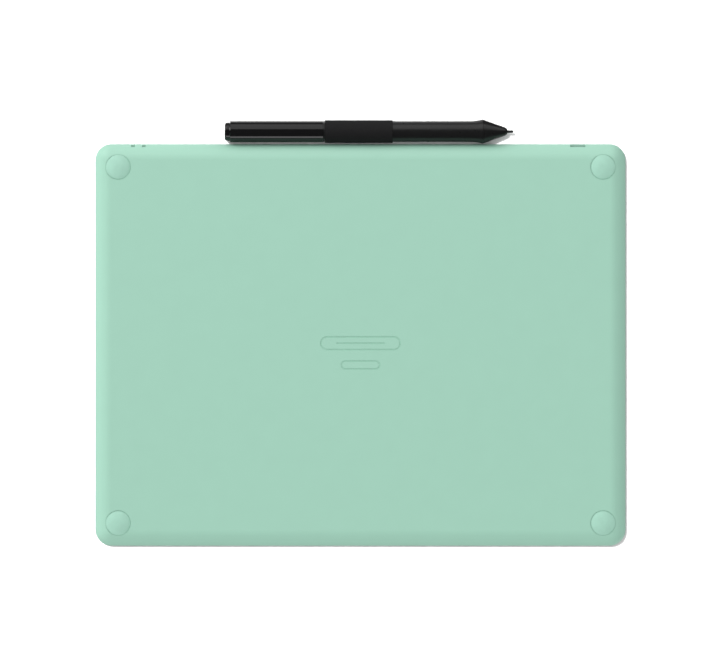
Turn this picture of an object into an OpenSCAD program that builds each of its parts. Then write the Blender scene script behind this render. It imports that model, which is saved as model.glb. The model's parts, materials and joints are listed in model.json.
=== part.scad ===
// A medium pen drawing tablet standing on its four feet, with its pen on the table along
// the rear edge. +X is the user's right, +Y points to the rear edge, +Z is up.
// The origin is on the table, under the middle of the tablet.

/* [Tablet body] */
// Width of the tablet from side to side
body_w = 264; // [258:1:290]
// Depth of the tablet from front to rear
body_d = 200; // [196:1:220]
// Height from the table to the drawing side
body_h = 8.8; // [8.6:0.1:9.6]
// Radius of the corners seen from above, and reach of the curved edge
corner_r = 8; // [7.5:0.5:10]
// Wall thickness of the lower shell
shell_t = 1.2; // [1:0.1:1.4]
// Thickness of the upper cover
lid_t = 1.4; // [1.2:0.1:1.5]
// Height of the shell above the table
foot_proud = 0.9; // [0.8:0.1:1]
// Diameter of a foot
foot_d = 12.2; // [10:0.2:12.6]
// Distance from a foot's centre to the edges of the tablet
foot_inset = 11.65; // [11:0.05:12.5]

/* [Drawing side] */
// Width of the textured sheet
sheet_w = 228; // [216:1:230]
// Depth of the textured sheet
sheet_d = 147; // [135:1:148]
// Position of the sheet's centre, front to rear
sheet_y = -13; // [-14:0.5:-12]
// Width of the pen tray
tray_w = 152; // [136:1:160]
// Depth of the pen tray
tray_d = 14.4; // [13.6:0.1:14.4]
// Position of the tray's centre line
tray_y = 89.6; // [89.4:0.1:89.6]
// Length of a key
key_l = 22; // [18:0.5:22]
// Width of a key
key_w = 4.4; // [3.8:0.1:4.6]
// How far a key goes down
key_travel = 0.5; // [0.3:0.1:0.5]

/* [Openings] */
// Position of the cable opening along the rear edge
usb_x = -108.1; // [-109:0.1:-107]
// Width of the cable opening
usb_w = 7.6; // [7.6:0.1:8]
// Position of the two strap slots along the rear edge
strap_x = 110.4; // [109:0.1:111]
// Distance between the two strap slots
strap_gap = 5.4; // [5:0.1:6]
// Width of a strap slot
strap_w = 1.8; // [1.4:0.1:2]

/* [Pen] */
// Length of the pen with its nib
pen_l = 143.6; // [143:0.1:146]
// Distance of the pen's axis behind the rear edge
pen_gap = 6.2; // [6.2:0.1:20]
// Position of the pen's tail end along X
pen_tail_x = 67.5; // [40:0.5:80]
// Largest radius of the pen, where the barrel meets the cone
flare_r = 6.05; // [6:0.05:6.2]
// Radius of the barrel
barrel_r = 5.15; // [5.05:0.05:5.2]
// Radius of the rear cap
cap_r = 5.3; // [5.2:0.05:5.4]
// Radius of the grip band
band_r = 5.65; // [5.5:0.05:5.8]
// Radius of the nib
nib_r = 0.65; // [0.6:0.05:0.7]

/* [Hidden] */

$fn = 72;
fine_fn = 144;
over = 0.5;          // how far a cut reaches past the face it opens

mint = [0.60, 0.81, 0.72];
mint_light = [0.66, 0.86, 0.77];
black = [0.08, 0.08, 0.085];
soft_black = [0.11, 0.11, 0.115];
board_green = [0.07, 0.30, 0.20];
steel = [0.72, 0.73, 0.75];
orange_film = [0.72, 0.42, 0.12];
white = [0.92, 0.92, 0.90];
red = [0.70, 0.08, 0.07];
clear = [0.85, 0.90, 0.92];
dark_grey = [0.22, 0.22, 0.24];
copper = [0.72, 0.40, 0.22];

// Levels of the tablet
floor_z = foot_proud;                        // underside of the shell
inner_z = floor_z + shell_t;                 // inside of its floor
part_z = body_h - lid_t;                     // parting line of the two covers
rim_h = part_z - floor_z;
edge_r = (corner_r * corner_r + rim_h * rim_h) / (2 * rim_h);   // curved edge of the shell
edge_cz = floor_z + edge_r;

// Upper cover
lid_inset = 0.25;
lid_r = corner_r - lid_inset;
lid_round = lid_t / 2 - 0.05;
lip_out = corner_r - 1.8;
lip_t = 0.9;
lip_h = 0.8;
sheet_t = 0.3;
sheet_gap = 0.2;
sheet_r = 3;

// Feet and case screws
foot_x = body_w / 2 - foot_inset;
foot_y = body_d / 2 - foot_inset;
pocket_r = foot_d / 2 + 0.15;
pocket_z = floor_z + 0.6;
dome_rise = 1.25;                            // curved part of a foot
dome_cut = 0.05;                             // its flat end
low_boss_r = 3.7;
low_boss_z = inner_z + 2.5;
top_boss_r = 2.8;
screw_seat_z = pocket_z + 1.4;
screw_head_r = 1.9;
screw_head_t = 1.3;
screw_r = 1;
screw_top_z = part_z + 0.2;

// Underside mark: a long and a short stadium outline
mark_l = 40;
mark_w = 7;
mark_line = 0.7;
mark_deep = 0.25;
mark_y = 0.9;
mark_bar_l = 24;
small_mark_l = 19.6;
small_mark_w = 4.6;
small_mark_y = -9.9;

// Openings in the rear edge
slot_z = 4.1;
strap_top_z = 6.45;
usb_top_z = 7.1;
usb_clear = 0.3;
usb_shell_w = usb_w - 2 * usb_clear;
usb_shell_h = 2.45;
usb_shell_l = 5.2;
usb_wall = 0.3;
usb_front_y = body_d / 2 - 2;
usb_bottom_w = usb_shell_w - 1.5;

// Tray
tray_r = 3;
tray_gap = 0.1;
tray_wall = 1.2;
tray_base_z = part_z - 1.9;
tray_floor_z = tray_base_z + 0.9;
tray_top_z = body_h - 0.2;
tray_round = 0.8;
flange_w = 1.8;
flange_t = 0.7;

// Keys
key_gap = 0.3;
key_top_z = tray_floor_z + 1.1;
key_round = 0.6;
key_inner_x = 20.5;
key_outer_x = key_inner_x + key_l + 3.5;
key_xs = [-key_outer_x, -key_inner_x, key_inner_x, key_outer_x];
key_flange = 0.8;
key_flange_z = tray_base_z - 0.8;
key_flange_t = 0.6;
plunger_r = 1;
power_r = 2.5;
power_top_z = tray_floor_z + 0.9;
pipe_l = 5;
pipe_w = 0.9;
pipe_y = tray_y + 4.2;

// Key board under the tray
kb_l = 128;
kb_d = 9.8;
kb_t = 0.8;
kb_top_z = tray_base_z - 1.8;
kb_post_r = 1.5;
kb_post_xs = [-61, -6.1, 6.1, 61];
kb_screw_r = 0.6;
kb_head_r = 1.3;
kb_head_t = 0.6;
dome_r = 2.4;
dome_h = 0.75;
dome_t = 0.15;
plunger_z = kb_top_z + dome_h + 0.05;
led_h = 0.6;

// Main board beside the cable opening
mb_x0 = usb_x - 7.4;
mb_x1 = mb_x0 + 33.5;
mb_y0 = body_d / 2 - 33;
mb_y1 = body_d / 2 - 4.2;
mb_t = 0.8;
mb_top_z = slot_z + usb_clear;
mb_hole_r = 1;
mb_screws = [[mb_x0 + 3, mb_y0 + 3.5], [mb_x0 + 3, mb_y0 + 20.5], [mb_x1 - 2.6, mb_y0 + 11.5]];
standoff_r = 1.9;

// Sensor under the drawing sheet
sensor_w = sheet_w - 2;
sensor_d = sheet_d;
sensor_t = 0.8;
sensor_gap = 0.15;
shield_t = 0.3;
shield_d = sensor_d - 12;
shield_top_z = part_z - sensor_t - sensor_gap;
rib_top_z = shield_top_z - shield_t - 0.05;
sensor_rear_y = sheet_y + sensor_d / 2 + 1.5;

// Battery
bat_w = 60;
bat_d = 44;
bat_h = 2.8;
bat_x = -62;
bat_y = 30;
bat_tape_t = 0.2;
bat_tab = 2.5;                               // sealed edge at its rear
bat_z = inner_z + bat_tape_t;
lead_r = 0.45;
lead_gap = 1.7;
plug_x = mb_x1 - 4.3;

// Pen, measured from its tail along its axis
cap_end_s = 48.9;
band_s = 49.7;
band_end_s = 83.5;
flare_s = pen_l - 21.8;
cone_s = pen_l - 15.3;
cone_end_s = pen_l - 3.1;
pen_y = body_d / 2 + pen_gap;
tail_r = 4.6;                                // rounded end of the cap
tail_round = 1;
tail_s = 2.3;
cap_bore_r = 4.05;
spigot_r = 3.75;
spigot_bore_r = 2.9;
spigot_s = 41;
barrel_bore_r = 4.1;
under_band_r = 4.75;
switch_s = 99;
switch_l = 22;
switch_w = 3.6;
switch_gap = 0.4;
switch_top = 5.55;
switch_low = 3.5;
pcb_low = 0.9;
pcb_t = 0.6;
pcb_w = 5.6;
pcb_s0 = 52;
pcb_s1 = 109;
tact_offset = 7.5;
core_r = 2;
core_s0 = pen_l - 25;
core_s1 = pen_l - 16;
coil_r = 2.7;
nib_hole_r = nib_r + 0.3;
spare_l = 26;
spare_s = 12;
spare_turn = 1.9;
holder_s = 30;

// ---- shared shapes ----

// Sweeps a half section, drawn outwards from the corner centre, round a rounded rectangle.
module ring_of(w, d, r) {
    for (m = [0, 1]) {
        mirror([m, 0, 0]) translate([w / 2 - r, 0, 0]) rotate([90, 0, 0])
            linear_extrude(d - 2 * r, center = true) children();
        mirror([0, m, 0]) translate([0, d / 2 - r, 0]) rotate([90, 0, 90])
            linear_extrude(w - 2 * r, center = true) children();
        for (n = [0, 1])
            mirror([m, 0, 0]) mirror([0, n, 0]) translate([w / 2 - r, d / 2 - r, 0])
                rotate_extrude(angle = 90, $fn = fine_fn) children();
    }
}

// A plate whose rounded edge has the given half section.
module edged_plate(w, d, r, z0, z1) {
    translate([r - w / 2, r - d / 2, z0]) cube([w - 2 * r, d - 2 * r, z1 - z0]);
    ring_of(w, d, r) children();
}

// A straight bar with round ends along X, made from a half section.
module round_bar(l, w) {
    rotate([90, 0, 90]) linear_extrude(l - w, center = true) {
        children();
        mirror([1, 0]) children();
    }
    for (m = [0, 1])
        mirror([m, 0, 0]) translate([(l - w) / 2, 0, 0]) rotate([0, 0, -90])
            rotate_extrude(angle = 180) children();
}

// Half section with a rounded upper edge.
module soft_half(r, z0, z1, round_r) {
    translate([0, z0]) square([r - round_r, z1 - z0]);
    translate([0, z0]) square([r, z1 - z0 - round_r]);
    translate([r - round_r, z1 - round_r]) circle(r = round_r);
}

module stadium(l, w) {
    square([l - w, w], center = true);
    for (s = [-1, 1]) translate([s * (l - w) / 2, 0]) circle(r = w / 2);
}

module rounded_rect(w, d, r) {
    square([w - 2 * r, d], center = true);
    square([w, d - 2 * r], center = true);
    for (x = [-1, 1], y = [-1, 1])
        translate([x * (w / 2 - r), y * (d / 2 - r)]) circle(r = r);
}

module at_feet() {
    for (x = [-1, 1], y = [-1, 1]) translate([x * foot_x, y * foot_y, 0]) children();
}

// Box by its lower corner and its far corner.
module block(a, b) {
    translate(a) cube(b - a);
}

// A screw with its head down, the shank rising from the seat.
module screw(seat_z, head_r, head_t, shank_r, top_z) {
    slot_w = head_r * 0.3;
    slot_l = head_r * 1.3;
    difference() {
        translate([0, 0, seat_z - head_t]) cylinder(r = head_r, h = head_t);
        for (a = [0, 90])
            rotate([0, 0, a]) translate([0, 0, seat_z - head_t])
                cube([slot_l, slot_w, head_t], center = true);
    }
    translate([0, 0, seat_z - over / 5]) cylinder(r = shank_r, h = top_z - seat_z + over / 5);
}

// ---- tablet covers ----

// Curved edge of the lower shell, set inwards by the given amount.
module shell_half(inset, top_z) {
    intersection() {
        translate([0, edge_cz]) circle(r = edge_r - inset, $fn = fine_fn);
        square([corner_r, top_z]);
    }
}

module rear_slot(x, w, z0, z1) {
    wall_y = body_d / 2 - corner_r / 2;
    block([x - w / 2, wall_y, z0], [x + w / 2, body_d / 2 + over, z1]);
}

module underside_mark() {
    translate([0, mark_y]) {
        difference() {
            stadium(mark_l, mark_w);
            stadium(mark_l - 2 * mark_line, mark_w - 2 * mark_line);
        }
        stadium(mark_bar_l, mark_line);
    }
    translate([0, small_mark_y]) difference() {
        stadium(small_mark_l, small_mark_w);
        stadium(small_mark_l - 2 * mark_line, small_mark_w - 2 * mark_line);
    }
}

module floor_ribs() {
    rib_t = 1;
    rib_y0 = sheet_y - 62;
    rib_y1 = sheet_y + 70;
    rib_x = 100;
    for (x = [-rib_x, 0, rib_x / 2, rib_x])
        block([x - rib_t / 2, rib_y0, inner_z - over], [x + rib_t / 2, rib_y1, rib_top_z]);
    for (y = [rib_y0, sheet_y - 20])
        block([-rib_x, y, inner_z - over], [rib_x, y + rib_t, rib_top_z]);
}

module bottom_cover() color(mint) {
    cavity_r = corner_r;
    pilot = 0.2;
    difference() {
        union() {
            difference() {
                edged_plate(body_w, body_d, corner_r, floor_z, part_z)
                    shell_half(0, part_z);
                edged_plate(body_w, body_d, cavity_r, inner_z, part_z + over)
                    shell_half(shell_t, part_z + over);
            }
            at_feet() translate([0, 0, inner_z - over])
                cylinder(r = low_boss_r, h = low_boss_z - inner_z + over);
            for (p = mb_screws) translate([p[0], p[1], inner_z - over])
                cylinder(r = standoff_r, h = mb_top_z - mb_t - inner_z + over);
            floor_ribs();
        }
        at_feet() {
            translate([0, 0, -over]) cylinder(r = pocket_r, h = pocket_z + over);
            translate([0, 0, pocket_z - over])
                cylinder(r = screw_head_r + pilot, h = screw_seat_z - pocket_z + over);
            translate([0, 0, pocket_z]) cylinder(r = screw_r + pilot, h = low_boss_z);
        }
        for (p = mb_screws) translate([p[0], p[1], inner_z])
            cylinder(r = mb_hole_r - pilot, h = body_h);
        rear_slot(usb_x, usb_w, slot_z, usb_top_z);
        for (s = [-1, 1])
            rear_slot(strap_x + s * strap_gap / 2, strap_w, slot_z, strap_top_z);
        translate([0, 0, floor_z - over]) linear_extrude(mark_deep + over) underside_mark();
    }
}

module top_cover() color(black) {
    lip_z = part_z - lip_h;
    usb_break = usb_w + 2;
    blind_z = part_z + over;
    difference() {
        union() {
            edged_plate(body_w - 2 * lid_inset, body_d - 2 * lid_inset, lid_r, part_z, body_h)
                soft_half(lid_r, part_z, body_h, lid_round);
            ring_of(body_w, body_d, corner_r)
                translate([lip_out - lip_t, lip_z]) square([lip_t, lip_h + over]);
            at_feet() translate([0, 0, low_boss_z + over / 5])
                cylinder(r = top_boss_r, h = part_z - low_boss_z);
        }
        translate([0, sheet_y, body_h - sheet_t]) linear_extrude(sheet_t + over)
            rounded_rect(sheet_w, sheet_d, sheet_r);
        translate([0, tray_y, 0]) linear_extrude(body_h + over)
            rounded_rect(tray_w, tray_d, tray_r);
        block([usb_x - usb_break / 2, body_d / 2 - corner_r, lip_z - over],
              [usb_x + usb_break / 2, body_d / 2 - lip_t, part_z]);
        at_feet() translate([0, 0, low_boss_z]) cylinder(r = screw_r + 0.05, h = blind_z - low_boss_z);
    }
}

module drawing_surface() color(soft_black) {
    tick_l = 6;
    tick_w = 0.5;
    tick_deep = 0.1;
    area_w = sheet_w - 12;
    area_d = sheet_d - 12;
    translate([0, sheet_y, body_h - sheet_t]) difference() {
        linear_extrude(sheet_t)
            rounded_rect(sheet_w - 2 * sheet_gap, sheet_d - 2 * sheet_gap, sheet_r - sheet_gap);
        translate([0, 0, sheet_t - tick_deep])
            for (mx = [0, 1], my = [0, 1]) mirror([mx, 0, 0]) mirror([0, my, 0])
                translate([area_w / 2, area_d / 2, 0]) {
                    block([-tick_l, -tick_w, 0], [0, 0, over]);
                    block([-tick_w, -tick_l, 0], [0, 0, over]);
                }
    }
}

module feet_at(sx, sy) color(mint_light) {
    r = foot_d / 2;
    rim_z = dome_rise - dome_cut;
    sphere_r = (r * r + dome_rise * dome_rise) / (2 * dome_rise);
    translate([sx * foot_x, sy * foot_y, 0]) rotate_extrude($fn = fine_fn) {
        translate([0, rim_z]) square([r, pocket_z - rim_z]);
        intersection() {
            translate([0, sphere_r - dome_cut]) circle(r = sphere_r, $fn = 2 * fine_fn);
            square([r, rim_z + over / 5]);
        }
    }
}

module foot_rear_right() feet_at(1, 1);
module foot_rear_left() feet_at(-1, 1);
module foot_front_right() feet_at(1, -1);
module foot_front_left() feet_at(-1, -1);

module case_screws() color(steel) {
    at_feet() screw(screw_seat_z, screw_head_r, screw_head_t, screw_r, screw_top_z);
}

// ---- tray and keys ----

module pen_tray() color(mint_light) {
    out_w = tray_w - 2 * tray_gap;
    out_d = tray_d - 2 * tray_gap;
    in_r = tray_r - tray_wall;
    flange_y0 = -tray_d / 2 - flange_w;
    translate([0, tray_y, 0]) difference() {
        union() {
            translate([0, 0, tray_base_z]) linear_extrude(tray_top_z - tray_base_z)
                rounded_rect(out_w, out_d, tray_r);
            block([-tray_w / 2 - flange_w, flange_y0, part_z - flange_t],
                  [tray_w / 2 + flange_w, out_d / 2 - tray_r, part_z]);
            for (x = kb_post_xs) translate([x, 0, kb_top_z])
                cylinder(r = kb_post_r, h = tray_base_z - kb_top_z + over);
        }
        edged_plate(out_w - 2 * tray_wall, out_d - 2 * tray_wall, in_r,
                    tray_floor_z, tray_top_z + over)
            basin_half(in_r);
        for (x = key_xs) translate([x, 0, tray_base_z - over])
            linear_extrude(tray_top_z) stadium(key_l + 2 * key_gap, key_w + 2 * key_gap);
        translate([0, 0, tray_base_z - over]) cylinder(r = power_r + key_gap, h = tray_top_z);
        translate([0, pipe_y - tray_y, tray_base_z - over])
            linear_extrude(tray_top_z) stadium(pipe_l + tray_gap, pipe_w + tray_gap);
        for (x = kb_post_xs) translate([x, 0, kb_top_z - over])
            cylinder(r = kb_screw_r + 0.05, h = tray_base_z - kb_top_z + over / 2);
    }
}

// Hollow of the tray, rounded where the walls meet the floor.
module basin_half(r) {
    translate([0, tray_floor_z + tray_round]) square([r, tray_top_z - tray_floor_z]);
    translate([0, tray_floor_z]) square([r - tray_round, tray_round]);
    translate([r - tray_round, tray_floor_z + tray_round]) circle(r = tray_round);
}

module express_key(i) color(mint) translate([key_xs[i], tray_y, 0]) {
    round_bar(key_l, key_w) soft_half(key_w / 2, key_flange_z, key_top_z, key_round);
    translate([0, 0, key_flange_z]) linear_extrude(key_flange_t)
        stadium(key_l + 2 * key_flange, key_w + 2 * key_flange);
    translate([0, 0, plunger_z]) cylinder(r = plunger_r, h = key_flange_z - plunger_z + over / 2);
}

module express_key_1() express_key(0);
module express_key_2() express_key(1);
module express_key_3() express_key(2);
module express_key_4() express_key(3);

module power_button() color(mint) translate([0, tray_y, 0]) {
    dish_r = 4;
    dish_deep = 0.25;
    difference() {
        rotate_extrude() soft_half(power_r, key_flange_z, power_top_z, key_round / 2);
        translate([0, 0, power_top_z + dish_r - dish_deep]) sphere(r = dish_r);
    }
    translate([0, 0, key_flange_z]) cylinder(r = power_r + key_flange, h = key_flange_t);
    translate([0, 0, plunger_z]) cylinder(r = plunger_r, h = key_flange_z - plunger_z + over / 2);
}

module light_pipe() color(clear) translate([0, pipe_y, 0]) {
    low_z = kb_top_z + led_h + 0.1;
    translate([0, 0, low_z]) linear_extrude(tray_floor_z - low_z) stadium(pipe_l, pipe_w);
}

module snap_dome(x) color(steel) {
    sphere_r = (dome_r * dome_r + dome_h * dome_h) / (2 * dome_h);
    translate([x, tray_y, kb_top_z]) intersection() {
        translate([0, 0, dome_h - sphere_r]) difference() {
            sphere(r = sphere_r, $fn = fine_fn);
            sphere(r = sphere_r - dome_t, $fn = fine_fn);
        }
        cylinder(r = dome_r, h = dome_h + over);
    }
}

module key_dome_1() snap_dome(key_xs[0]);
module key_dome_2() snap_dome(key_xs[1]);
module key_dome_3() snap_dome(key_xs[2]);
module key_dome_4() snap_dome(key_xs[3]);
module power_dome() snap_dome(0);

module status_led() color(white) translate([0, pipe_y, kb_top_z]) {
    led_w = 1.6;
    led_d = 0.8;
    translate([-led_w / 2, -led_d / 2, 0]) cube([led_w, led_d, led_h]);
}

// ---- boards ----

module key_board() color(board_green) {
    translate([0, tray_y, kb_top_z - kb_t]) difference() {
        linear_extrude(kb_t) rounded_rect(kb_l, kb_d, 1);
        for (x = kb_post_xs) translate([x, 0, -over])
            cylinder(r = kb_screw_r + 0.1, h = kb_t + 2 * over);
    }
}

module key_board_screws() color(steel) {
    for (x = kb_post_xs) translate([x, tray_y, 0])
        screw(kb_top_z - kb_t, kb_head_r, kb_head_t, kb_screw_r, tray_base_z - over);
}

// Thin strip with two bends, from the key board to the main board.
module key_flex() color(orange_film) {
    t = 0.2;
    half_w = 3;
    x0 = -kb_l / 2 + 1.2;
    x1 = -kb_l / 2 - 2;
    x2 = mb_x1 + 1.5;
    x3 = mb_x1 - 3;
    z0 = kb_top_z;
    z1 = mb_top_z + 0.5;
    translate([0, tray_y + half_w, 0]) rotate([90, 0, 0]) linear_extrude(2 * half_w)
        polygon([[x0, z0], [x0, z0 + t], [x1, z0 + t], [x2, z1 + t], [x3, z1 + t],
                 [x3, z1], [x2, z1], [x1, z0]]);
}

module key_connector() color(white) {
    l = 7.6;
    h = 1.2;
    mouth_z = mb_top_z + 0.45;
    mouth_h = 0.3;
    difference() {
        block([mb_x1 - 6, tray_y - l / 2, mb_top_z], [mb_x1 - 2, tray_y + l / 2, mb_top_z + h]);
        block([mb_x1 - 3.2, tray_y - 3.1, mouth_z],
              [mb_x1, tray_y + 3.1, mouth_z + mouth_h]);
    }
}

module main_board() color(board_green) {
    difference() {
        block([mb_x0, mb_y0, mb_top_z - mb_t], [mb_x1, mb_y1, mb_top_z]);
        for (p = mb_screws) translate([p[0], p[1], 0]) cylinder(r = mb_hole_r, h = body_h);
    }
}

module main_board_screws() color(steel) {
    head_r = 1.6;
    head_t = 0.7;
    shank_r = 0.75;
    for (p = mb_screws) translate([p[0], p[1], 2 * mb_top_z]) mirror([0, 0, 1])
        screw(mb_top_z, head_r, head_t, shank_r, 2 * mb_top_z - inner_z - 0.2);
}

module chip(x, y, w, d, h) {
    translate([x - w / 2, y - d / 2, mb_top_z]) cube([w, d, h]);
}

module board_chips() color(dark_grey) {
    chip(mb_x0 + 10, mb_y0 + 15, 7, 7, 1);
    chip(mb_x0 + 17.5, mb_y0 + 10, 3, 3, 0.8);
    chip(mb_x0 + 16.5, mb_y0 + 14, 3.2, 2.5, 0.9);
    chip(mb_x0 + 12, mb_y0 + 21.5, 4, 1.8, 0.7);
    for (i = [0 : 4]) chip(mb_x0 + 5.5 + 2 * i, mb_y0 + 9, 1, 0.5, 0.5);
}

module rf_shield_can() color(steel) {
    w = 12;
    d = 10;
    h = 1.4;
    t = 0.2;
    translate([mb_x0 + 20.5, mb_y0 + 21.5, mb_top_z]) difference() {
        linear_extrude(h) rounded_rect(w, d, 0.6);
        translate([0, 0, -t]) linear_extrude(h) rounded_rect(w - 2 * t, d - 2 * t, 0.4);
    }
}

module radio_module() color([0.10, 0.12, 0.30]) {
    chip(mb_x0 + 24.5, mb_y0 + 11.5, 7, 7, 0.6);
    chip(mb_x0 + 24.5, mb_y0 + 10.5, 6, 4.5, 1.2);
}

// Outline of the cable socket: the lower corners are cut off.
module usb_outline(inset) {
    w = usb_shell_w / 2 - inset;
    b = usb_bottom_w / 2 - inset;
    side_z = mb_top_z + 0.9;
    polygon([[-b, mb_top_z + inset], [b, mb_top_z + inset], [w, side_z],
             [w, mb_top_z + usb_shell_h - inset], [-w, mb_top_z + usb_shell_h - inset],
             [-w, side_z]]);
}

module usb_receptacle() color(steel) {
    translate([usb_x, usb_front_y, 0]) rotate([90, 0, 0]) difference() {
        linear_extrude(usb_shell_l) usb_outline(0);
        translate([0, 0, -over]) linear_extrude(usb_shell_l - usb_wall + over)
            usb_outline(usb_wall);
    }
}

module usb_tongue() color(black) {
    w = 3.8;
    t = 0.6;
    l = 3.4;
    z = mb_top_z + 1.5;
    translate([usb_x - w / 2, usb_front_y - usb_shell_l + usb_wall, z]) cube([w, l, t]);
}

module sensor_board() color(board_green) {
    translate([0, sheet_y, part_z - sensor_t]) linear_extrude(sensor_t)
        rounded_rect(sensor_w, sensor_d, sheet_r);
}

module shield_plate() color(steel) {
    translate([0, sheet_y, shield_top_z - shield_t]) linear_extrude(shield_t)
        rounded_rect(sensor_w - 4, shield_d, sheet_r);
}

// Strip from the underside of the sensor board down to the main board.
module sensor_flex() color(orange_film) {
    t = 0.2;
    w = 14;
    top = part_z - sensor_t;
    z1 = mb_top_z + 0.5;
    y0 = sensor_rear_y - 6;
    y1 = sensor_rear_y + 1;
    y2 = mb_y0 - 0.5;
    y3 = mb_y0 + 3.4;
    translate([mb_x0 + 9.5, 0, 0]) rotate([90, 0, 90]) linear_extrude(w)
        polygon([[y0, top], [y1, top], [y2, z1 + t], [y3, z1 + t],
                 [y3, z1], [y2 - t, z1], [y1 - t, top - t], [y0, top - t]]);
}

module flex_connector() color(white) {
    x = mb_x0 + 9;
    y = mb_y0 + 1.8;
    mouth_z = mb_top_z + 0.45;
    difference() {
        block([x, y, mb_top_z], [x + 15, y + 3.6, mb_top_z + 1.2]);
        block([x + 0.4, y - over, mouth_z], [x + 14.6, y + 1.8, mouth_z + 0.3]);
    }
}

// ---- battery ----

module battery() color([0.62, 0.64, 0.67]) {
    edge = 1.2;
    seal_h = 1.6;
    translate([bat_x, bat_y, bat_z]) {
        edged_plate(bat_w, bat_d, edge, 0, bat_h) soft_half(edge, 0, bat_h, edge / 2);
        translate([-bat_w / 2, bat_d / 2 - over, 0]) cube([bat_w, bat_tab + over, seal_h]);
    }
}

module battery_tape() color(white) {
    margin = 4;
    translate([bat_x, bat_y, inner_z]) linear_extrude(bat_tape_t)
        square([bat_w - 2 * margin, bat_d - 2 * margin], center = true);
}

// One wire: straight, rising, straight.
module battery_lead(x) {
    y0 = bat_y + bat_d / 2 + bat_tab;
    z0 = bat_z + 0.8;
    y1 = y0 + 4;
    y2 = mb_y0 - 6;
    z2 = mb_top_z + 0.9;
    y3 = mb_y0 - 3.2;
    rise = atan2(z2 - z0, y2 - y1);
    run = norm([z2 - z0, y2 - y1]);
    translate([x, y0, z0]) rotate([-90, 0, 0]) cylinder(r = lead_r, h = y1 - y0);
    translate([x, y1, z0]) {
        sphere(r = lead_r + 0.03);
        rotate([rise - 90, 0, 0]) cylinder(r = lead_r, h = run);
    }
    translate([x, y2, z2]) {
        sphere(r = lead_r + 0.03);
        rotate([-90, 0, 0]) cylinder(r = lead_r, h = y3 - y2);
    }
}

module battery_lead_red() color(red) battery_lead(plug_x + lead_gap / 2);
module battery_lead_black() color(black) battery_lead(plug_x - lead_gap / 2);

module battery_plug() color(white) {
    w = 4.2;
    z0 = mb_top_z + 0.2;
    block([plug_x - w / 2, mb_y0 - 3.2, z0], [plug_x + w / 2, mb_y0 + 1.2, z0 + 1.4]);
}

module battery_header() color(white) {
    w = 5.4;
    d = 4;
    h = 1.9;
    difference() {
        block([plug_x - w / 2, mb_y0 + 0.2, mb_top_z], [plug_x + w / 2, mb_y0 + d, mb_top_z + h]);
        block([plug_x - w / 2 + 0.5, mb_y0 - over, mb_top_z + 0.1],
              [plug_x + w / 2 - 0.5, mb_y0 + d - 1, mb_top_z + h - 0.2]);
    }
}

// ---- pen ----

// Puts a shape drawn along +Z from the tail, with its upper side at +X, in its place.
module on_pen_axis() {
    translate([pen_tail_x, pen_y, flare_r]) rotate([0, -90, 0]) children();
}

module tube(r_in, r_out, s0, s1) {
    translate([0, 0, s0]) difference() {
        cylinder(r = r_out, h = s1 - s0);
        translate([0, 0, -over]) cylinder(r = r_in, h = s1 - s0 + 2 * over);
    }
}

module pen_rear_cap() color(black) on_pen_axis() {
    end_t = 3.2;
    groove_w = 0.3;
    groove_r = tail_r - 0.25;
    step_s = tail_s + groove_w;
    cut = 0.15;
    face_r = tail_r - tail_round;
    rotate_extrude() difference() {
        union() {
            polygon([[0, 0], [face_r, 0], [tail_r, tail_round], [tail_r, tail_s],
                     [groove_r, tail_s], [groove_r, step_s], [cap_r - cut, step_s],
                     [cap_r, step_s + cut], [cap_r, cap_end_s], [0, cap_end_s]]);
            translate([face_r, tail_round]) circle(r = tail_round);
        }
        translate([0, end_t]) square([cap_bore_r, cap_end_s]);
    }
}

module pen_cap_ring() color(dark_grey) on_pen_axis() {
    tube(cap_bore_r, cap_r - 0.1, cap_end_s + 0.1, band_s - 0.1);
}

module pen_grip_band() color(black) on_pen_axis() {
    cut = 0.12;
    rotate_extrude()
        polygon([[under_band_r, band_s], [band_r - cut, band_s], [band_r, band_s + cut],
                 [band_r, band_end_s - cut], [band_r - cut, band_end_s],
                 [under_band_r, band_end_s]]);
}

module pen_front_barrel() color(black) on_pen_axis() {
    flare_h = cone_s - flare_s;
    flare_w = flare_r - barrel_r;
    curve_r = (flare_h * flare_h + flare_w * flare_w) / (2 * flare_w);
    difference() {
        rotate_extrude() difference() {
            union() {
                translate([0, spigot_s]) square([spigot_r, band_s - spigot_s + over]);
                translate([0, band_s]) square([under_band_r, band_end_s - band_s + over]);
                translate([0, band_end_s]) square([barrel_r, flare_s - band_end_s]);
                difference() {
                    translate([0, flare_s]) square([flare_r, flare_h]);
                    translate([barrel_r + curve_r, flare_s])
                        circle(r = curve_r, $fn = 4 * fine_fn);
                }
            }
            translate([0, spigot_s - over]) square([spigot_bore_r, pen_l]);
            translate([0, band_s + over]) square([barrel_bore_r, pen_l]);
        }
        switch_opening(switch_gap);
    }
}

module switch_plan(gap) {
    rotate([0, 0, 90]) stadium(switch_l + 2 * gap, switch_w + 2 * gap);
}

// The opening is cut from just inside the wall outwards.
module switch_opening(gap) {
    translate([switch_low - 1.5, 0, switch_s]) rotate([90, 0, 90])
        linear_extrude(flare_r) switch_plan(gap);
}

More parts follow.
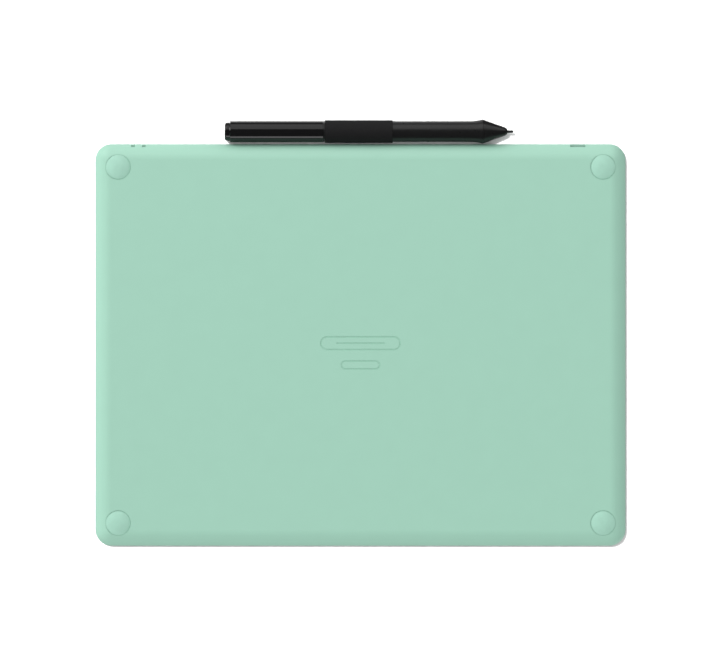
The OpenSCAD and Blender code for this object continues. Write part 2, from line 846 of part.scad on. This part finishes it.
module pen_side_switch() color(soft_black) on_pen_axis() {
    groove = 0.5;
    axle_r = 0.4;
    axle_l = 4;
    nub_low = 3.35;
    difference() {
        intersection() {
            translate([switch_low, 0, switch_s]) rotate([90, 0, 90])
                linear_extrude(flare_r - switch_low) switch_plan(0);
            translate([0, 0, switch_s - switch_l]) cylinder(r = switch_top, h = 2 * switch_l);
        }
        translate([switch_top, -switch_w, switch_s]) rotate([-90, 0, 0])
            cylinder(r = groove, h = 2 * switch_w);
    }
    translate([switch_low + axle_r, -axle_l / 2, switch_s]) rotate([-90, 0, 0])
        cylinder(r = axle_r, h = axle_l);
    for (s = [-1, 1]) translate([nub_low, 0, switch_s + s * tact_offset]) rotate([0, 90, 0])
        cylinder(r = 0.6, h = over);
}

module pen_cone() color(soft_black) on_pen_axis() {
    root_r = flare_r - 0.05;
    neck_s = cone_end_s - 1;
    plug_r = 4;
    plug_s = cone_s - 4.3;
    bore_r = 3.2;
    rotate_extrude() difference() {
        polygon([[0, plug_s], [plug_r, plug_s], [plug_r, cone_s + 0.1], [root_r, cone_s + 0.1],
                 [2.05, neck_s], [1.35, cone_end_s], [0, cone_end_s]]);
        polygon([[-over, plug_s - over], [bore_r, plug_s - over], [bore_r, cone_s + 1.7],
                 [nib_hole_r, cone_end_s - 3], [nib_hole_r, cone_end_s + over],
                 [-over, cone_end_s + over]]);
    }
}

module pen_nib() color(dark_grey) on_pen_axis() {
    nib_s = core_s0 - 2.4;
    translate([0, 0, nib_s]) cylinder(r = nib_r, h = pen_l - nib_r - nib_s);
    translate([0, 0, pen_l - nib_r]) sphere(r = nib_r);
}

module nib_carrier() color(white) on_pen_axis() {
    s0 = core_s0 - 4.4;
    translate([0, 0, s0]) difference() {
        cylinder(r = 1.4, h = 3.6);
        translate([0, 0, 2]) cylinder(r = nib_r, h = 3.6);
    }
}

module pressure_sensor() color(steel) on_pen_axis() {
    tube(0.5, 2.4, core_s0 - 8.6, core_s0 - 5);
}

module ferrite_core() color(dark_grey) on_pen_axis() {
    tube(nib_hole_r, core_r, core_s0, core_s1);
}

module pen_coil() color(copper) on_pen_axis() {
    tube(core_r, coil_r, core_s0 + 1, core_s1 - 1.6);
}

// Cradle under the pen's board, sensor and core.
module pen_frame() color(dark_grey) on_pen_axis() {
    frame_r = 3.95;
    frame_s0 = band_s + 1;
    frame_s1 = core_s1 - 4.2;
    well_r = coil_r + 0.1;
    well_s = core_s0 - 9;
    trough_w = 3;
    difference() {
        translate([0, 0, frame_s0]) cylinder(r = frame_r, h = frame_s1 - frame_s0);
        block([pcb_low, -flare_r, frame_s0 - over], [flare_r, flare_r, frame_s1 + over]);
        translate([0, 0, well_s]) cylinder(r = well_r, h = frame_s1);
        block([-1.5, -trough_w / 2, frame_s0 - over], [flare_r, trough_w / 2, well_s + over]);
    }
}

module pen_circuit_board() color(board_green) on_pen_axis() {
    block([pcb_low, -pcb_w / 2, pcb_s0], [pcb_low + pcb_t, pcb_w / 2, pcb_s1]);
}

module pen_tact_switches() color(steel) on_pen_axis() {
    half = 1.5;
    top = pcb_low + pcb_t + 1.1;
    for (s = [-1, 1]) translate([0, 0, switch_s + s * tact_offset]) {
        block([pcb_low + pcb_t, -half, -half], [top, half, half]);
        translate([top - over / 5, 0, 0]) rotate([0, 90, 0]) cylinder(r = 0.7, h = over);
    }
}

module at_spare_nibs() {
    for (a = [0 : 120 : 240]) rotate([0, 0, a]) translate([spare_turn, 0, 0]) children();
}

module nib_holder() color(dark_grey) on_pen_axis() {
    holder_r = 3.4;
    difference() {
        translate([0, 0, holder_s]) cylinder(r = holder_r, h = spigot_s - holder_s);
        at_spare_nibs() translate([0, 0, holder_s - over])
            cylinder(r = nib_r + 0.05, h = spare_s + spare_l - holder_s + over);
    }
}

module spare_nibs() color(dark_grey) on_pen_axis() {
    at_spare_nibs() {
        translate([0, 0, spare_s + nib_r]) sphere(r = nib_r);
        translate([0, 0, spare_s + nib_r]) cylinder(r = nib_r, h = spare_l - nib_r);
    }
}

bottom_cover();
top_cover();
drawing_surface();
pen_tray();
express_key_1();
express_key_2();
express_key_3();
express_key_4();
power_button();
light_pipe();
status_led();
key_dome_1();
key_dome_2();
key_dome_3();
key_dome_4();
power_dome();
key_board();
key_board_screws();
key_flex();
key_connector();
main_board();
main_board_screws();
board_chips();
rf_shield_can();
radio_module();
usb_receptacle();
usb_tongue();
sensor_board();
shield_plate();
sensor_flex();
flex_connector();
battery();
battery_tape();
battery_lead_red();
battery_lead_black();
battery_plug();
battery_header();
foot_rear_right();
foot_rear_left();
foot_front_right();
foot_front_left();
case_screws();
pen_rear_cap();
pen_cap_ring();
pen_grip_band();
pen_front_barrel();
pen_cone();
pen_nib();
nib_carrier();
pen_side_switch();
pen_frame();
pen_circuit_board();
pen_tact_switches();
pressure_sensor();
ferrite_core();
pen_coil();
nib_holder();
spare_nibs();
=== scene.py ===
"""Looks for a flat pen drawing tablet and its pen: materials, studio and camera.

The tablet lies on its feet. The camera looks straight up at its underside, as the
photograph does, so the studio has one set of lights below the table and one above.
"""

import json
import math

import bpy
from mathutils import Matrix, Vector


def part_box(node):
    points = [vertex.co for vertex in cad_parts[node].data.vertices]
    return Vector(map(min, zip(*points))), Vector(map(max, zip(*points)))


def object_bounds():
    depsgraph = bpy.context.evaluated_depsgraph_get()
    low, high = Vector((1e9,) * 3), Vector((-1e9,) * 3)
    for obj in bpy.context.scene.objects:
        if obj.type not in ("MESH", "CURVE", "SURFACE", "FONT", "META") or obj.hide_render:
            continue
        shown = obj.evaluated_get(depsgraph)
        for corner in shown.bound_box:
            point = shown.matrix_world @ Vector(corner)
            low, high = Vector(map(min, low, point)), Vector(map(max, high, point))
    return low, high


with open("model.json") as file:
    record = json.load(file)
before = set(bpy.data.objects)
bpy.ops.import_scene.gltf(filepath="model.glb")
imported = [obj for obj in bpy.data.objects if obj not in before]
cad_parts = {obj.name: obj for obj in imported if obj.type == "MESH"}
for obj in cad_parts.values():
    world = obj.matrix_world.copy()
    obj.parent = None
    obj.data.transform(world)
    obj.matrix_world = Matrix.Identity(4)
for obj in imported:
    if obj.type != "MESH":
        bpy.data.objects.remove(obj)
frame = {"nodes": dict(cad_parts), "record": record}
cad_low, cad_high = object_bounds()
nodes = frame["nodes"]

MM = 0.001


def srgb(r, g, b):
    """Turns display values from 0 to 255 into the linear colour a shader takes."""

    def one(v):
        v /= 255
        return v / 12.92 if v <= 0.04045 else ((v + 0.055) / 1.055) ** 2.4

    return (one(r), one(g), one(b), 1.0)


# ---------------------------------------------------------------- materials


class Surface:
    """A Principled material with object coordinates in metres behind its textures."""

    def __init__(self, name, color, rough, **values):
        self.mat = bpy.data.materials.new(name)
        self.mat.use_nodes = True
        self.tree = self.mat.node_tree
        self.bsdf = self.tree.nodes["Principled BSDF"]
        self.bsdf.inputs["Base Color"].default_value = color
        self.bsdf.inputs["Roughness"].default_value = rough
        for key, value in values.items():
            self.bsdf.inputs[key.replace("_", " ")].default_value = value
        self.coords = self.add("ShaderNodeTexCoord").outputs["Object"]
        self.color, self.normal = color, None

    def add(self, kind, **settings):
        node = self.tree.nodes.new(kind)
        for key, value in settings.items():
            setattr(node, key, value)
        return node

    def link(self, a, b):
        self.tree.links.new(a, b)

    def noise(self, size, detail=2.0, rough=0.5, coords=None):
        """Noise whose spots are about `size` millimetres across."""
        node = self.add("ShaderNodeTexNoise")
        node.inputs["Scale"].default_value = 1 / (size * MM)
        node.inputs["Detail"].default_value = detail
        node.inputs["Roughness"].default_value = rough
        self.link(coords or self.coords, node.inputs["Vector"])
        return node.outputs["Fac"]

    def between(self, value, low, high, source=(0.3, 0.7)):
        node = self.add("ShaderNodeMapRange")
        node.inputs["From Min"].default_value = source[0]
        node.inputs["From Max"].default_value = source[1]
        node.inputs["To Min"].default_value = low
        node.inputs["To Max"].default_value = high
        self.link(value, node.inputs["Value"])
        return node.outputs["Result"]

    def math(self, operation, a, b=None):
        node = self.add("ShaderNodeMath", operation=operation)
        for socket, value in zip(node.inputs, (a, b)):
            if value is None:
                continue
            if isinstance(value, (int, float)):
                socket.default_value = value
            else:
                self.link(value, socket)
        return node.outputs["Value"]

    def tint(self, value, low, high):
        """Colours the base between `low` and `high` times its own colour."""
        node = self.add("ShaderNodeMix", data_type="RGBA")
        for socket, k in zip((node.inputs[6], node.inputs[7]), (low, high)):
            socket.default_value = [min(1, c * k) for c in self.color[:3]] + [1]
        self.link(value, node.inputs[0])
        self.link(node.outputs[2], self.bsdf.inputs["Base Color"])
        return self

    def shine(self, value, low, high):
        self.link(self.between(value, low, high), self.bsdf.inputs["Roughness"])
        return self

    def bump(self, value, height, strength=1.0):
        """Adds relief `height` millimetres deep on top of any there already."""
        node = self.add("ShaderNodeBump")
        node.inputs["Distance"].default_value = height * MM
        node.inputs["Strength"].default_value = strength
        self.link(value, node.inputs["Height"])
        if self.normal:
            self.link(self.normal, node.inputs["Normal"])
        self.normal = node.outputs["Normal"]
        self.link(self.normal, self.bsdf.inputs["Normal"])
        return self

    def wrapped(self, centre):
        """Coordinates round an axis along X: metres along it, and radians around it."""
        shift = self.add("ShaderNodeVectorMath", operation="SUBTRACT")
        self.link(self.coords, shift.inputs[0])
        shift.inputs[1].default_value = centre
        parts = self.add("ShaderNodeSeparateXYZ")
        self.link(shift.outputs[0], parts.inputs[0])
        x, y, z = parts.outputs
        turn = self.math("ARCTAN2", y, z)
        return x, turn


def plastic(name, color, rough, grain=0.25, height=0.012, spread=0.06, drift=0.015, **values):
    """Moulded plastic: spark-eroded grain, slow colour drift and uneven sheen."""
    s = Surface(name, color, rough, **values)
    s.tint(s.between(s.noise(12, 3), 0, 1), 1 - drift, 1 + drift)
    s.shine(s.noise(6, 4), rough - spread, rough + spread)
    s.bump(s.noise(grain, 3, 0.6), height)
    return s


def rubber(name, color, rough):
    s = Surface(name, color, rough)
    s.tint(s.between(s.noise(3, 4), 0, 1), 0.97, 1.02)
    s.shine(s.noise(1.5, 3), rough - 0.05, rough + 0.05)
    s.bump(s.noise(0.18, 3, 0.6), 0.008)
    return s


def metal(name, color, rough, stretch=(1, 14, 1)):
    """Rolled metal: streaks along one way in both sheen and relief."""
    s = Surface(name, color, rough, Metallic=1.0)
    mapping = s.add("ShaderNodeMapping")
    mapping.inputs["Scale"].default_value = stretch
    s.link(s.coords, mapping.inputs["Vector"])
    streak = s.noise(0.8, 4, 0.6, mapping.outputs["Vector"])
    s.tint(s.between(streak, 0, 1), 0.94, 1.03)
    s.shine(streak, rough - 0.08, rough + 0.1)
    s.bump(streak, 0.004)
    return s


def circuit(name):
    """Solder mask with pale copper tracks under it."""
    s = Surface(name, srgb(18, 92, 62), 0.35)
    cells = s.add("ShaderNodeTexVoronoi", feature="DISTANCE_TO_EDGE", distance="MANHATTAN")
    cells.inputs["Scale"].default_value = 1 / (1.6 * MM)
    s.link(s.coords, cells.inputs["Vector"])
    track = s.between(cells.outputs["Distance"], 1, 0, (0.04, 0.07))
    s.tint(track, 0.85, 1.9)
    s.shine(s.noise(2), 0.28, 0.4)
    s.bump(track, 0.02)
    return s


mint_face = srgb(161, 209, 188)
mint_soft = srgb(164, 212, 192)
deep_black = srgb(26, 26, 28)

pen_axis = (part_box("pen_grip_band")[0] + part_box("pen_grip_band")[1]) / 2


def grip_rubber(name):
    """Matte band with rows of small raised dots round the axis."""
    s = Surface(name, srgb(26, 26, 27), 0.78, Specular_IOR_Level=0.2)
    x, turn = s.wrapped(pen_axis)
    pitch = 0.9 * MM
    around = 40
    rows = s.math("SINE", s.math("MULTIPLY", x, 2 * math.pi / pitch))
    dots = s.math("SINE", s.math("MULTIPLY", turn, around))
    relief = s.math("MULTIPLY", rows, dots)
    # Painted shade and highlight: the colour follows the dot relief, darker in the hollows
    # between dots and lighter on their raised tops.
    s.tint(s.between(relief, 0, 1, (-0.6, 0.6)), 0.7, 1.25)
    s.shine(s.noise(1.2, 3), 0.7, 0.86)
    s.bump(relief, 0.05)
    s.bump(s.noise(0.12, 3), 0.01)
    return s


def turned_plastic(name, color, rough):
    """Pen barrel: faint lines round the axis from the mould, and light wear."""
    s = Surface(name, color, rough)
    x, _ = s.wrapped(pen_axis)
    line = s.add("ShaderNodeCombineXYZ")
    s.link(x, line.inputs[0])
    streak = s.noise(0.5, 3, 0.6, line.outputs[0])
    satin = rough > 0.25
    s.tint(s.between(s.noise(9, 3), 0, 1), 0.92, 1.08)
    s.shine(s.noise(2.5, 4), rough - 0.04, rough + 0.06)
    s.bump(streak, 0.0015)
    s.bump(s.noise(0.15, 3), 0.004 if satin else 0.0006)
    return s


finishes = {
    "mint_shell": plastic("mint_shell", mint_face, 0.55, height=0.006, drift=0.005),
    "mint_feet": rubber("mint_feet", mint_soft, 0.6),
    "mint_insert": plastic("mint_insert", mint_face, 0.5),
    "mint_keys": plastic("mint_keys", mint_soft, 0.42, height=0.006),
    "black_cover": plastic("black_cover", srgb(34, 34, 36), 0.55, height=0.015),
    "drawing_film": plastic("drawing_film", srgb(40, 40, 42), 0.72, 0.2, 0.03, 0.05),
    "clear_plastic": plastic("clear_plastic", srgb(225, 235, 238), 0.15, height=0.002,
                             Transmission_Weight=0.6, IOR=1.49),
    "led_body": plastic("led_body", srgb(240, 238, 225), 0.25, height=0.002),
    "steel_parts": metal("steel_parts", srgb(200, 202, 206), 0.3),
    "circuit_board": circuit("circuit_board"),
    "amber_flex": plastic("amber_flex", srgb(196, 128, 44), 0.25, 2.0, 0.01),
    "white_plastic": plastic("white_plastic", srgb(232, 230, 222), 0.45),
    "chip_plastic": plastic("chip_plastic", srgb(38, 38, 40), 0.6, 0.1),
    "black_plastic": plastic("black_plastic", deep_black, 0.5),
    "battery_pouch": metal("battery_pouch", srgb(196, 198, 202), 0.38, (1, 1, 1)),
    "red_wire": plastic("red_wire", srgb(190, 30, 26), 0.35, 0.2, 0.004),
    "black_wire": plastic("black_wire", srgb(22, 22, 22), 0.35, 0.2, 0.004),
    "pen_gloss": turned_plastic("pen_gloss", srgb(13, 13, 14), 0.1),
    "pen_satin": turned_plastic("pen_satin", srgb(17, 17, 18), 0.3),
    "pen_grip": grip_rubber("pen_grip"),
    "nib_plastic": plastic("nib_plastic", srgb(34, 34, 35), 0.4, 0.1, 0.004),
    "ferrite": plastic("ferrite", srgb(60, 60, 64), 0.5, 0.08, 0.02, Metallic=0.6),
    "copper_wire": metal("copper_wire", srgb(190, 110, 66), 0.28, (14, 1, 1)),
}

for part in frame["record"]["subparts"]:
    target = nodes[part["node"]]
    target.data.materials.clear()
    target.data.materials.append(finishes[part["material_slot"]].mat)


# ---------------------------------------------------------------- studio


def flat_plane(name, size, centre):
    half = size / 2
    mesh = bpy.data.meshes.new(name)
    mesh.from_pydata(
        [(-half, -half, 0), (half, -half, 0), (half, half, 0), (-half, half, 0)],
        [], [(0, 1, 2, 3)],
    )
    plane = bpy.data.objects.new(name, mesh)
    plane.location = centre
    bpy.context.scene.collection.objects.link(plane)
    return plane


def only_seen(obj):
    """The plane is seen, but neither lights, shades nor mirrors in the object."""
    obj.visible_diffuse = obj.visible_glossy = False
    obj.visible_transmission = obj.visible_shadow = False


middle = (cad_low + cad_high) / 2
floor_drop = 1 * MM

floor = flat_plane("floor", 12.0, (middle.x, middle.y, cad_low.z - floor_drop))
only_seen(floor)
floor_look = Surface("floor_paper", srgb(236, 236, 234), 0.8)
floor_look.tint(floor_look.between(floor_look.noise(60, 4), 0, 1), 0.99, 1.01)
floor.data.materials.append(floor_look.mat)

# The sheet behind the tablet, seen from below only: from above it lets the view through.
sheet_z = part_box("top_cover")[1].z + 0.2 * MM
sheet = flat_plane("backdrop", 3.0, (middle.x, middle.y, sheet_z))
only_seen(sheet)
sheet_look = Surface("backdrop_paper", (0.8, 0.8, 0.8, 1), 0.9)
see_through = sheet_look.add("ShaderNodeBsdfTransparent")
pick = sheet_look.add("ShaderNodeMixShader")
back_side = sheet_look.add("ShaderNodeNewGeometry").outputs["Backfacing"]
flip = sheet_look.math("SUBTRACT", 1.0, back_side)
sheet_look.link(flip, pick.inputs[0])
sheet_look.link(sheet_look.bsdf.outputs[0], pick.inputs[1])
sheet_look.link(see_through.outputs[0], pick.inputs[2])
out = next(n for n in sheet_look.tree.nodes if n.type == "OUTPUT_MATERIAL")
sheet_look.link(pick.outputs[0], out.inputs["Surface"])
sheet.data.materials.append(sheet_look.mat)


def soft_light(name, place, size, level, long_side=None, mirror_only=False):
    """A soft box. `level` is its brightness, where 1 is that of a sheet of white paper."""
    data = bpy.data.lights.new(name, "AREA")
    data.shape = "RECTANGLE"
    data.size = long_side or size
    data.size_y = size
    data.energy = level * math.pi * data.size * data.size_y
    lamp = bpy.data.objects.new(name, data)
    lamp.location = place
    lamp.rotation_mode = "QUATERNION"
    lamp.rotation_quaternion = (middle - Vector(place)).to_track_quat("-Z", "X")
    lamp.visible_camera = False
    lamp.visible_diffuse = not mirror_only
    bpy.context.scene.collection.objects.link(lamp)
    return lamp


def shine_only_on(lamp, obj):
    """The lamp lights this one object and no other."""
    group = bpy.data.collections.new(lamp.name + "_target")
    group.objects.link(obj)
    lamp.light_linking.receiver_collection = group


box_reach = 2.0
box_length = 4.0


def long_box(name, angle, size, level, only_on=None):
    """A soft box along X that only shiny surfaces show, `angle` degrees from straight below."""
    a = math.radians(angle)
    place = middle + box_reach * Vector((0, math.sin(a), -math.cos(a)))
    lamp = soft_light(name, place, size, level, box_length, True)
    lamp.rotation_quaternion = (middle - place).to_track_quat("-Z", "Y")
    if only_on:
        shine_only_on(lamp, only_on)
    return lamp


# Below the table, for the underside. Picture left is +X and picture up is +Y.
soft_light("key_below", (1.0, 1.0, -0.5), 0.5, 6.5)
long_box("rear_strip", 55, 2.2, 1.0)
# The glossy rear cap has a second highlight, a bright rim and a glint at its tail.
cap = nodes["pen_rear_cap"]
long_box("front_strip", -65, 0.7, 2.2, cap)
long_box("rim_strip", 160, 0.9, 2.5, cap)
tail_glint = soft_light("tail_glint", (2.0, 0.7, 0.0), 0.6, 9.0, mirror_only=True)
shine_only_on(tail_glint, cap)
# Above the table, for the drawing side.
soft_light("key_above", (-0.9, -0.8, 1.4), 0.9, 1.6)
soft_light("fill_above", (1.2, 0.5, 1.2), 1.2, 0.4)
soft_light("back_above", (0.1, 1.4, 0.9), 1.0, 0.8)

# A lamp for the backdrop alone, which puts the tablet's thin shadow on it.
shade_way = Vector((-0.34, -0.34, 0.8))
shade_data = bpy.data.lights.new("shadow_lamp", "SUN")
shade_data.energy = 4.0
shade_data.angle = math.radians(8)
shade_lamp = bpy.data.objects.new("shadow_lamp", shade_data)
shade_lamp.rotation_mode = "QUATERNION"
shade_lamp.rotation_quaternion = shade_way.to_track_quat("-Z", "Y")
bpy.context.scene.collection.objects.link(shade_lamp)
shine_only_on(shade_lamp, sheet)

world = bpy.data.worlds.new("studio")
bpy.context.scene.world = world
world.use_nodes = True
wt = world.node_tree


def air(color, strength):
    node = wt.nodes.new("ShaderNodeBackground")
    node.inputs["Color"].default_value = color
    if isinstance(strength, (int, float)):
        node.inputs["Strength"].default_value = strength
    else:
        wt.links.new(strength, node.inputs["Strength"])
    return node.outputs[0]


def slanted(level, lean):
    """A brightness that grows along the direction `lean`."""
    coords = wt.nodes.new("ShaderNodeTexCoord").outputs["Generated"]
    dot = wt.nodes.new("ShaderNodeVectorMath")
    dot.operation = "DOT_PRODUCT"
    wt.links.new(coords, dot.inputs[0])
    dot.inputs[1].default_value = [level * v for v in lean]
    total = wt.nodes.new("ShaderNodeMath")
    wt.links.new(dot.outputs["Value"], total.inputs[0])
    total.inputs[1].default_value = level
    return total.outputs[0]


def choose(ray, otherwise, then):
    node = wt.nodes.new("ShaderNodeMixShader")
    wt.links.new(ray, node.inputs[0])
    wt.links.new(otherwise, node.inputs[1])
    wt.links.new(then, node.inputs[2])
    return node.outputs[0]


# Matt surfaces see a bright room, brightest towards picture left, shiny ones a dark one.
ray = wt.nodes.new("ShaderNodeLightPath").outputs
white = (1, 1, 1, 1)
lean = (0.32, 0.1, 0)
room = air(white, slanted(0.95, lean))
dim = air(white, 0.08)
paper = air((0.93, 0.93, 0.93, 1), 1.0)
mixed = choose(ray["Is Camera Ray"], choose(ray["Is Glossy Ray"], room, dim), paper)
wt.links.new(mixed, wt.nodes["World Output"].inputs["Surface"])

bpy.context.scene.view_settings.view_transform = "Standard"


# ---------------------------------------------------------------- camera

# The tablet fills most of the picture's width, and its middle is a little below the
# picture's middle.
picture_share = 720 / 530
tablet_low, tablet_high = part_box("bottom_cover")
tablet_mid = (tablet_low + tablet_high) / 2
view_width = (tablet_high.x - tablet_low.x) * picture_share
off_x = 0.25 * MM
off_y = 7.45 * MM

cam_data = bpy.data.cameras.new("camera")
cam_data.lens = 180
cam_data.sensor_width = 36
distance = view_width * cam_data.lens / cam_data.sensor_width
camera = bpy.data.objects.new("camera", cam_data)
camera.location = (tablet_mid.x + off_x, tablet_mid.y + off_y, tablet_high.z - distance)
camera.rotation_euler = (0, math.pi, 0)
# The floor lies between the camera and the object, so the view starts just past it.
cam_data.clip_start = cad_low.z - floor_drop / 2 - camera.location.z
cam_data.clip_end = distance * 4
bpy.context.scene.collection.objects.link(camera)
bpy.context.scene.camera = camera
